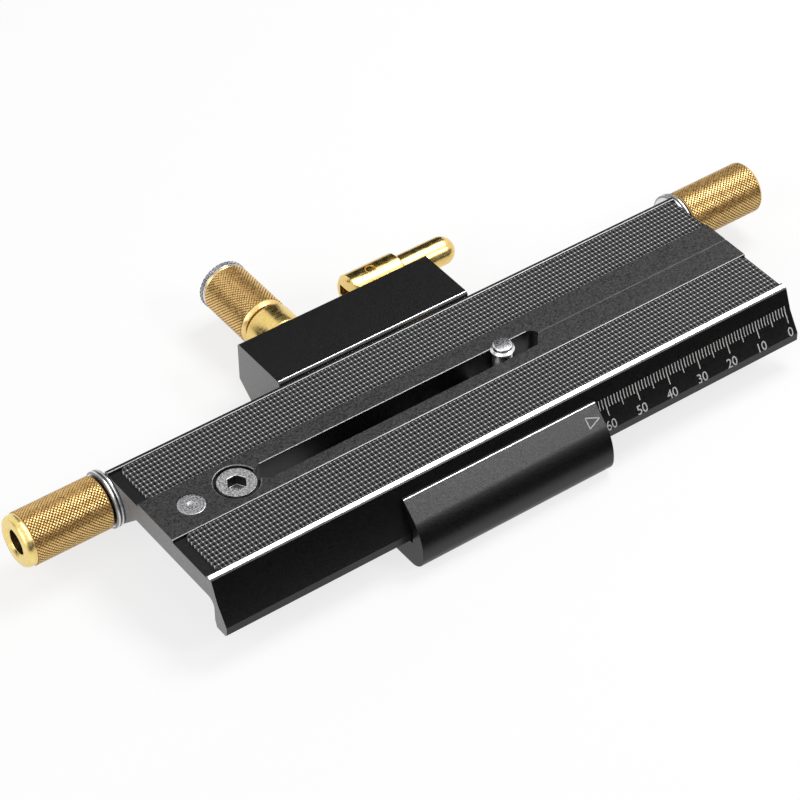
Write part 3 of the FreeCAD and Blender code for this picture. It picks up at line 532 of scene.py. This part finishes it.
# Scale: millimetre lines engraved across the plate's front flank and filled with pale paint, longer
# at each five and ten, with plain numbers below. It starts near the plate's right end. The flank
# bends at its knee, and each line runs up and down from there.
FLANK = {
    "knee": Vector((0, -26.7, 16.2)),
    "up": Vector((0, 0.3404, 0.9403)),
    "down": Vector((0, -0.53, -0.848)),
    "out_above": Vector((0, -0.9403, 0.3404)),
    "out_below": Vector((0, -0.848, 0.53)),
}
ZERO_X, LAST = 93.5, 120
LINE_ABOVE, NUMBER_DOWN, NUMBER_LEFT, NUMBER_HIGH, NUMBER_RAISED = 1.75, 5.6, 0.2, 3.5, 0.03
shape = bmesh.new()
for millimetre in range(LAST + 1):
    length = 3.15 if millimetre % 10 == 0 else 2.1 if millimetre % 5 == 0 else 0.95
    width = 0.28 if millimetre % 10 == 0 else 0.24
    knee = FLANK["knee"] + Vector((ZERO_X - millimetre, 0, 0))
    bar(shape, knee, knee + FLANK["up"] * LINE_ABOVE, width, FLANK["out_above"])
    bar(shape, knee, knee + FLANK["down"] * length, width, FLANK["out_below"])
for ten in range(0, LAST + 1, 10):
    written = bpy.data.curves.new("number", "FONT")
    written.body = str(ten)
    written.size = NUMBER_HIGH * MM
    written.extrude = NUMBER_RAISED * MM
    written.align_x = "CENTER"
    written.align_y = "CENTER"
    holder = bpy.data.objects.new("number", written)
    bpy.context.collection.objects.link(holder)
    figure = bpy.data.meshes.new_from_object(holder.evaluated_get(bpy.context.evaluated_depsgraph_get()))
    bpy.data.objects.remove(holder)
    turn = Matrix.Identity(4)
    turn.col[1].xyz = -FLANK["down"]
    turn.col[2].xyz = FLANK["out_below"]
    across = Vector((ZERO_X - ten - NUMBER_LEFT, 0, 0))
    middle = FLANK["knee"] + across + FLANK["down"] * NUMBER_DOWN
    figure.transform(Matrix.Translation(middle * MM) @ turn)
    shape.from_mesh(figure)
piece("scale_marks", shape, "plate", [scale_paint], [])


# Grip strips: black rubber moulded with a square waffle, glued in the plate's grooves. The ribs are
# painted paler than the black pits as painted light, with near-white painted highlights where they cross.
def waffle_finish(name, rib, cross, corner, pitch):
    """The ribs' finish, painted paler than the pits as painted light: its painted highlights at the
    crossings follow the waffle's own pitch from its corner. Each cell counts from 0 to 1 both ways,
    and near is how far a point lies towards a crossing."""
    material = finish(name, rib, [part * 0.55 for part in rib], (0.4, 0.6), 0, (1, 1, 1), 1300, 0.2)
    nodes, link = material.node_tree.nodes, material.node_tree.links.new
    shader = nodes["Principled BSDF"]
    coordinates = nodes.new("ShaderNodeTexCoord")
    cells = nodes.new("ShaderNodeMapping")
    cells.vector_type = "TEXTURE"
    cells.inputs["Location"].default_value = [part * MM for part in corner] + [0]
    cells.inputs["Scale"].default_value = [part * MM for part in pitch] + [1]
    split = nodes.new("ShaderNodeSeparateXYZ")
    link(coordinates.outputs["Object"], cells.inputs["Vector"])
    link(cells.outputs["Vector"], split.inputs["Vector"])
    near = nodes.new("ShaderNodeMath")
    near.operation = "MINIMUM"
    for side in (0, 1):
        part = nodes.new("ShaderNodeMath")
        part.operation = "FRACT"
        centred = nodes.new("ShaderNodeMath")
        centred.operation = "SUBTRACT"
        centred.inputs[1].default_value = 0.5
        far = nodes.new("ShaderNodeMath")
        far.operation = "ABSOLUTE"
        link(split.outputs[side], part.inputs[0])
        link(part.outputs[0], centred.inputs[0])
        link(centred.outputs[0], far.inputs[0])
        link(far.outputs[0], near.inputs[side])
    spread = nodes.new("ShaderNodeMapRange")
    spread.inputs["From Min"].default_value = 0.34
    spread.inputs["From Max"].default_value = 0.42
    tint = nodes.new("ShaderNodeMix")
    tint.data_type = "RGBA"
    tint.inputs[7].default_value = (*cross, 1)
    link(near.outputs[0], spread.inputs["Value"])
    link(spread.outputs["Result"], tint.inputs["Factor"])
    link(nodes["tint"].outputs[2], tint.inputs[6])
    link(tint.outputs[2], shader.inputs["Base Color"])
    return material


rubber_pits = finish(
    "rubber_pits", (0.005, 0.005, 0.005), (0.002, 0.002, 0.002), (0.6, 0.8), 0, (1, 1, 1), 1500, 0.2, 0.1
)
STRIP_LEFT, STRIP_RIGHT, STRIP_TOP, STRIP_DEEP, STRIP_CORNER = -81.4, 94.3, 22.4, 0.8, 1.3
COLUMNS, RIB_EDGE, RIB_SLOPE, PIT_DEEP = 148, 0.17, 0.14, 0.5


def trimmed(shape, near, far):
    """Rounds the four corners of a strip's flat sheet, by three cuts at each."""
    for end, toward in ((STRIP_LEFT, 1), (STRIP_RIGHT, -1)):
        for side, inward in ((near, 1), (far, -1)):
            centre = Vector((end + toward * STRIP_CORNER, side + inward * STRIP_CORNER, STRIP_TOP)) * MM
            for angle in (math.radians(18), math.radians(45), math.radians(72)):
                out = Vector((-toward * math.cos(angle), -inward * math.sin(angle), 0))
                bmesh.ops.bisect_plane(
                    shape, geom=shape.verts[:] + shape.edges[:] + shape.faces[:],
                    plane_co=centre + out * STRIP_CORNER * MM, plane_no=out, clear_outer=True,
                )


for node, near, far, rows in (
    ("front_grip_strip", -22.55, -8.2, 10),
    ("rear_grip_strip", 7.95, 21.1, 9),
):
    middle = Vector(((STRIP_LEFT + STRIP_RIGHT) / 2, (near + far) / 2, STRIP_TOP)) * MM
    size = Matrix.Diagonal(((STRIP_RIGHT - STRIP_LEFT) * MM, (far - near) * MM, 1, 1))
    shape = bmesh.new()
    bmesh.ops.create_grid(
        shape, x_segments=COLUMNS, y_segments=rows, size=0.5, matrix=Matrix.Translation(middle) @ size
    )
    trimmed(shape, near, far)
    cells = shape.faces[:]
    walls = bmesh.ops.extrude_face_region(shape, geom=cells, use_keep_orig=True)["geom"]
    floor_spots = [part for part in walls if isinstance(part, bmesh.types.BMVert)]
    bmesh.ops.translate(shape, vec=(0, 0, -STRIP_DEEP * MM), verts=floor_spots)
    bmesh.ops.recalc_face_normals(shape, faces=shape.faces)
    half_a_cell = 0.5 * max(face.calc_area() for face in cells)
    pits = [face for face in cells if face.calc_area() > half_a_cell]
    bmesh.ops.inset_individual(shape, faces=pits, thickness=RIB_EDGE * MM, use_even_offset=True)
    bmesh.ops.inset_individual(
        shape, faces=pits, thickness=RIB_SLOPE * MM, depth=-PIT_DEEP * MM, use_even_offset=True
    )
    for face in pits:
        face.material_index = 1
    pitch = ((STRIP_RIGHT - STRIP_LEFT) / COLUMNS, (far - near) / rows)
    # The ribs are painted dark grey, paler than the black pits, with near-white painted highlights at
    # their crossings.
    ribs_painted_highlight = waffle_finish(
        node + "_ribs", (0.1, 0.1, 0.1), (0.76, 0.76, 0.76), (STRIP_LEFT, near), pitch
    )
    piece(node + "_waffle", shape, "plate", [ribs_painted_highlight, rubber_pits], [node])


# Spare screw and plug: a flat-headed steel screw with a hex socket sits in a well in the plate, and
# a small steel plug with a turner's dimple beside it. Both show rings from the lathe.
def lathe_rings(name, light, dark, centre, spacing):
    """A turned steel face: rings round an upright axis, over a mottled grain. A wave texture of
    scale 1 has a ring each 0.3142 of a unit."""
    material = steel_finish(name, light, dark, (0.28, 0.5), 0.2)
    nodes, link = material.node_tree.nodes, material.node_tree.links.new
    coordinates = nodes.new("ShaderNodeTexCoord")
    centred = nodes.new("ShaderNodeMapping")
    centred.inputs["Location"].default_value = (-centre[0] * MM, -centre[1] * MM, 0)
    rings = nodes.new("ShaderNodeTexWave")
    rings.wave_type = "RINGS"
    rings.rings_direction = "Z"
    rings.inputs["Scale"].default_value = 0.3142 / (spacing * MM)
    rings.inputs["Distortion"].default_value = 1.2
    rings.inputs["Detail"].default_value = 3
    over = nodes.new("ShaderNodeBump")
    over.inputs["Strength"].default_value = 0.35
    over.inputs["Distance"].default_value = 0.04 * MM
    link(coordinates.outputs["Object"], centred.inputs["Vector"])
    link(centred.outputs["Vector"], rings.inputs["Vector"])
    link(rings.outputs["Fac"], over.inputs["Height"])
    link(nodes["relief"].outputs["Normal"], over.inputs["Normal"])
    link(over.outputs["Normal"], nodes["Principled BSDF"].inputs["Normal"])
    return material


PLUG_X = -74.2
spare_steel = lathe_rings("spare_steel", (0.66, 0.66, 0.67), (0.34, 0.34, 0.35), (WELL_X, 0), 0.5)
plug_steel = lathe_rings("plug_steel", (0.58, 0.58, 0.59), (0.29, 0.29, 0.3), (PLUG_X, 0), 0.7)
socket_painted_shade = steel_finish("socket_painted_shade", (0.06, 0.06, 0.06), (0.02, 0.02, 0.02), (0.4, 0.6))
WALLS_ABOVE, SOCKET_REACH, RIM_RADIUS, NARROWED = 17, 3, 5.2, 0.955
shape = machined("spare_screw", 0.25)
# The socket's walls get a near-black steel: painted shade in the socket.
for face in shape.faces:
    middle = face.calc_center_median() / MM
    if face.normal.z < 0.5 and middle.z > WALLS_ABOVE and from_well(middle) < SOCKET_REACH:
        face.material_index = 1
rim = [spot for spot in shape.verts if from_well(spot.co / MM) > RIM_RADIUS]
bmesh.ops.scale(
    shape, vec=(NARROWED, NARROWED, 1), verts=rim, space=Matrix.Translation((-WELL_X * MM, 0, 0))
)
piece("spare_screw_disc", shape, "plate", [spare_steel, socket_painted_shade], ["spare_screw"], True)
shape = turned(
    [(0, 0), (0, 3.7), (6.35, 3.7), (6.5, 3.5), (6.42, 2.2), (6.5, 1.1), (6.25, 0.75), (6.2, 0)], 48, 0.08
)
piece("plug_disc", moved(shape, PLUG_X, 0, 15.95, "z"), "plate", [plug_steel], ["plate_plug"])


# Lead screw: a steel rod with a fine thread of one millimetre a turn between two plain journals,
# which turn in brass bushes pressed into the plate's ends.
AXLE = {"y": 22.2, "z": 13.8}
PLATE_MIDDLE, HALF_ROD, HALF_THREAD, TURNS = 5.3, 106.15, 81.95, 163
shape = turned(
    [
        (-HALF_ROD, 0), (-HALF_ROD, 3), (-HALF_THREAD, 3), (-HALF_THREAD, 3.5),
        (HALF_THREAD, 3.5), (HALF_THREAD, 3), (HALF_ROD, 3), (HALF_ROD, 0),
    ],
    32, 0.1,
)
piece(
    "screw_core", moved(shape, x=PLATE_MIDDLE, **AXLE), "lead_screw",
    [zinc_steel], ["lead_screw"],
)
shape = wound_ridge(root=3.48, crest=4, pitch=1, turns=TURNS, steps=24)
piece(
    "screw_thread", moved(shape, x=PLATE_MIDDLE - TURNS / 2, **AXLE), "lead_screw",
    [zinc_steel], [],
)


# Rail knobs: at each end of the lead screw a brass knob with a diamond knurl, held by a
# socket-headed screw deep in its bore. The left one has a plain rounded end. Behind each are two
# bright steel washers, one fixed to the plate and one that turns with the knob.
KNOB_SKIN = 7.05
washer_profile = [(0, 3.05), (1.05, 3.05), (1.05, 7.3), (0.75, 7.8), (0.3, 7.8), (0, 7.3)]
knob_root = [(0, 3.02), (0, 5.8), (0.55, 6.75)]
knob_bore = [(24.4, 3.35), (19.1, 3.3), (19.1, 1.55), (14.05, 1.55), (14.05, 3.02)]
knob_profiles = {
    "left": knob_root + knurl_stretch(0.7, 22.7, KNOB_SKIN, 22)
    + [(22.9, 6.9), (23.2, 7.02), (24.1, 6.95), (24.8, 6.55), (25.1, 5.9), (25.1, 4.4)] + knob_bore,
    "right": knob_root + knurl_stretch(0.7, 24.0, KNOB_SKIN, 23)
    + [(24.3, 6.85), (24.85, 6.2), (25.1, 5.6), (25.1, 4.4)] + knob_bore,
}
bore_painted_shade = finish(
    "bore_painted_shade", (0.09, 0.06, 0.025), (0.03, 0.02, 0.01), (0.4, 0.6), 1, (1, 1, 1), 1500, 0.2
)
brass_plain_end = finish(
    "brass_plain_end", (0.95, 0.77, 0.32), (0.86, 0.64, 0.22), (0.25, 0.4), 1, (1, 1, 1), 1400, 0.1
)
blackened_steel = steel_finish("blackened_steel", (0.05, 0.05, 0.05), (0.02, 0.02, 0.02), (0.3, 0.45))
washer_steel = steel_finish("washer_steel", (0.85, 0.85, 0.86), (0.66, 0.66, 0.67), (0.25, 0.36), 0.1)
washer_chamfer_painted_shade = steel_finish("washer_chamfer_painted_shade", (0.36, 0.36, 0.365), (0.22, 0.22, 0.225), (0.3, 0.45))
PAINTED_SHADE, PLAIN_END = 2, 3
BORE_RADIUS, BORE_BOTTOM, BORE_MOUTH, ROOT_END, KNURL_END = 3.35, 14, 24.6, 0.62, 23


def on_axle(side, distance):
    """Where a piece goes on the lead screw's axis, so far out from the plate's middle."""
    if side == "left":
        return {"x": PLATE_MIDDLE - distance, "toward": "-x", **AXLE}
    return {"x": PLATE_MIDDLE + distance, "toward": "x", **AXLE}


for side in ("left", "right"):
    shape = turned([(0, 3.05), (8, 3.05), (8, 4.28), (0, 4.28)], 48, 0.1)
    piece(
        side + "_end_bush", moved(shape, **on_axle(side, 82)), "plate",
        [brass_polished], [side + "_bush"],
    )
    for name, node, body, distance in (
        ("_plate_washer", "_thrust_washer", "plate", 90),
        ("_turning_washer", "_knob_washer", "lead_screw", 91.1),
    ):
        shape = turned(washer_profile, 64, 0.06)
        # The chamfers at the rim get a darker copy of the steel: painted shade.
        for face in shape.faces:
            if face.calc_center_median().yz.length > 7 * MM and abs(face.normal.x) > 0.75:
                face.material_index = 1
        piece(
            side + name, moved(shape, **on_axle(side, distance)), body,
            [washer_steel, washer_chamfer_painted_shade], [side + node],
        )
    shape = knurled(turned(knob_profiles[side], 46, 0.07), KNOB_SKIN, 0.2, 0.15)
    # The bore and the knob's inner face against the washer get near-black brass: painted shade in the bore
    # and between the parts.
    for face in shape.faces:
        middle = face.calc_center_median() / MM
        in_bore = middle.yz.length < BORE_RADIUS and BORE_BOTTOM < middle.x < BORE_MOUTH
        if in_bore or middle.x < ROOT_END:
            face.material_index = PAINTED_SHADE
        elif side == "left" and middle.x > KNURL_END and face.material_index == 0:
            face.material_index = PLAIN_END
    piece(
        side + "_rail_knob", moved(shape, **on_axle(side, 92.15)), "lead_screw",
        [brass_knurled, brass_grooves_painted_shade, bore_painted_shade, brass_plain_end], [side + "_knob"],
    )
piece(
    "knob_socket_screws", machined("knob_screws", 0.12), "lead_screw",
    [blackened_steel], ["knob_screws"], True,
)


# Camera screw: a steel screw with a wide slotted head under the plate, an undercut neck in the slot
# and a threaded end that stands above the plate. A thin plastic washer lies on its head.
CAMERA_AXIS = {"x": 20.2, "y": -0.85, "toward": "z"}
NECK_CUT = 21
shape = machined("camera_screw", 0.15)
bmesh.ops.bisect_plane(
    shape, geom=shape.verts[:] + shape.edges[:] + shape.faces[:],
    plane_co=(0, 0, NECK_CUT * MM), plane_no=(0, 0, 1), clear_outer=True,
)
bmesh.ops.holes_fill(shape, edges=[line for line in shape.edges if line.is_boundary])
piece("camera_screw_head", shape, "camera_screw", [zinc_steel], ["camera_screw"], True)
shape = turned([(0, 0), (0, 2.6), (4.3, 2.6), (4.6, 2.35), (4.6, 0)], 40, 0.08)
piece(
    "camera_screw_end", moved(shape, z=NECK_CUT - 0.1, **CAMERA_AXIS), "camera_screw",
    [bare_steel], [],
)
shape = wound_ridge(root=2.55, crest=INCH / 8, pitch=INCH / 20, turns=1, steps=40)
piece(
    "camera_screw_thread", moved(shape, z=22.75, **CAMERA_AXIS), "camera_screw", [bare_steel], []
)
piece(
    "head_washer", machined("camera_screw_washer", 0.05), "camera_washer",
    [slide_plastic], ["camera_screw_washer"], True,
)


# Studio: a white sheet that the rail stands on, soft lights overhead, in front and at the left, and
# black cards seen in reflections alone, as a photographer sets them to give brass its dark
# edges. What the camera and reflections see of the sheet and the room is white.
def white_where_seen(node_tree, surface, output, share):
    """Mixes plain white light into a surface for the camera, glossy and transmission rays."""
    nodes, link = node_tree.nodes, node_tree.links.new
    path = nodes.new("ShaderNodeLightPath")
    most = path.outputs["Is Camera Ray"]
    for ray in ("Is Glossy Ray", "Is Transmission Ray"):
        step = nodes.new("ShaderNodeMath")
        step.operation = "MAXIMUM"
        link(most, step.inputs[0])
        link(path.outputs[ray], step.inputs[1])
        most = step.outputs[0]
    level = nodes.new("ShaderNodeMath")
    level.operation = "MULTIPLY"
    level.inputs[1].default_value = share
    link(most, level.inputs[0])
    white = nodes.new("ShaderNodeEmission" if surface.type != "BACKGROUND" else "ShaderNodeBackground")
    white.inputs["Color"].default_value = (1, 1, 1, 1)
    mix = nodes.new("ShaderNodeMixShader")
    link(level.outputs[0], mix.inputs[0])
    link(surface.outputs[0], mix.inputs[1])
    link(white.outputs[0], mix.inputs[2])
    link(mix.outputs[0], output.inputs["Surface"])


def stood_in_studio(name, width, height, place, material):
    """A flat sheet or card of the studio, in metres, which stays out of the export."""
    shape = bmesh.new()
    size = Matrix.Diagonal((width, height, 1, 1))
    bmesh.ops.create_grid(shape, x_segments=1, y_segments=1, size=0.5, matrix=place @ size)
    mesh = bpy.data.meshes.new(name)
    shape.to_mesh(mesh)
    shape.free()
    mesh.materials.append(material)
    made = bpy.data.objects.new(name, mesh)
    bpy.context.collection.objects.link(made)
    return made


room = bpy.data.worlds.new("room")
bpy.context.scene.world = room
room.use_nodes = True
room_light = room.node_tree.nodes["Background"]
room_light.inputs["Color"].default_value = (1, 1, 1, 1)
room_light.inputs["Strength"].default_value = 0.38
white_where_seen(room.node_tree, room_light, room.node_tree.nodes["World Output"], 1)
paper = bpy.data.materials.new("white_paper")
paper.use_nodes = True
sheet = paper.node_tree.nodes["Principled BSDF"]
sheet.inputs["Base Color"].default_value = (0.93, 0.93, 0.93, 1)
sheet.inputs["Roughness"].default_value = 0.9
white_where_seen(paper.node_tree, sheet, paper.node_tree.nodes["Material Output"], 0.75)
stood_in_studio("floor_sheet", 6, 6, Matrix.Translation((0, 0, -0.0001)), paper)
black_card = bpy.data.materials.new("black_card")
black_card.use_nodes = True
card_shader = black_card.node_tree.nodes["Principled BSDF"]
card_shader.inputs["Base Color"].default_value = (0.004, 0.004, 0.004, 1)
card_shader.inputs["Specular IOR Level"].default_value = 0
UPRIGHT, FLAT = Matrix.Rotation(math.pi / 2, 4, "X"), Matrix.Identity(4)
for name, middle, width, height, turn in (
    ("card_behind", (0.45, 0.55, 0.67), 0.7, 0.7, UPRIGHT),
    ("card_behind_low", (0.31, 0.55, 0.16), 0.38, 0.32, UPRIGHT),
    ("card_at_left", (-1.05, 0.55, 0.35), 1.1, 0.7, UPRIGHT),
    ("card_far_in_front", (0.5, -1.15, 0.3), 2.6, 0.6, UPRIGHT),
    ("card_in_front", (0.2, -0.55, 0.0005), 2.0, 1.0, FLAT),
):
    card = stood_in_studio(name, width, height, Matrix.Translation(middle) @ turn, black_card)
    card.visible_camera = card.visible_diffuse = False
    card.visible_shadow = card.visible_transmission = False
LIT_SPOT = Vector((0, 0, 0.02))
for name, place, width, depth, power in (
    ("overhead", Vector((0.33, 0.06, 0.66)), 0.34, 0.28, 2.6),
    ("front", Vector((0.43, -0.63, 0.66)), 0.24, 0.22, 2.0),
    ("left", Vector((-0.8, -0.2, 0.5)), 0.6, 0.5, 3.0),
):
    lamp = bpy.data.lights.new(name, "AREA")
    lamp.shape = "RECTANGLE"
    lamp.size, lamp.size_y, lamp.energy = width, depth, power
    lamp_holder = bpy.data.objects.new(name, lamp)
    lamp_holder.location = place
    lamp_holder.rotation_mode = "QUATERNION"
    lamp_holder.rotation_quaternion = (LIT_SPOT - place).to_track_quat("-Z", "Y")
    bpy.context.collection.objects.link(lamp_holder)
bpy.context.scene.view_settings.view_transform = "Standard"
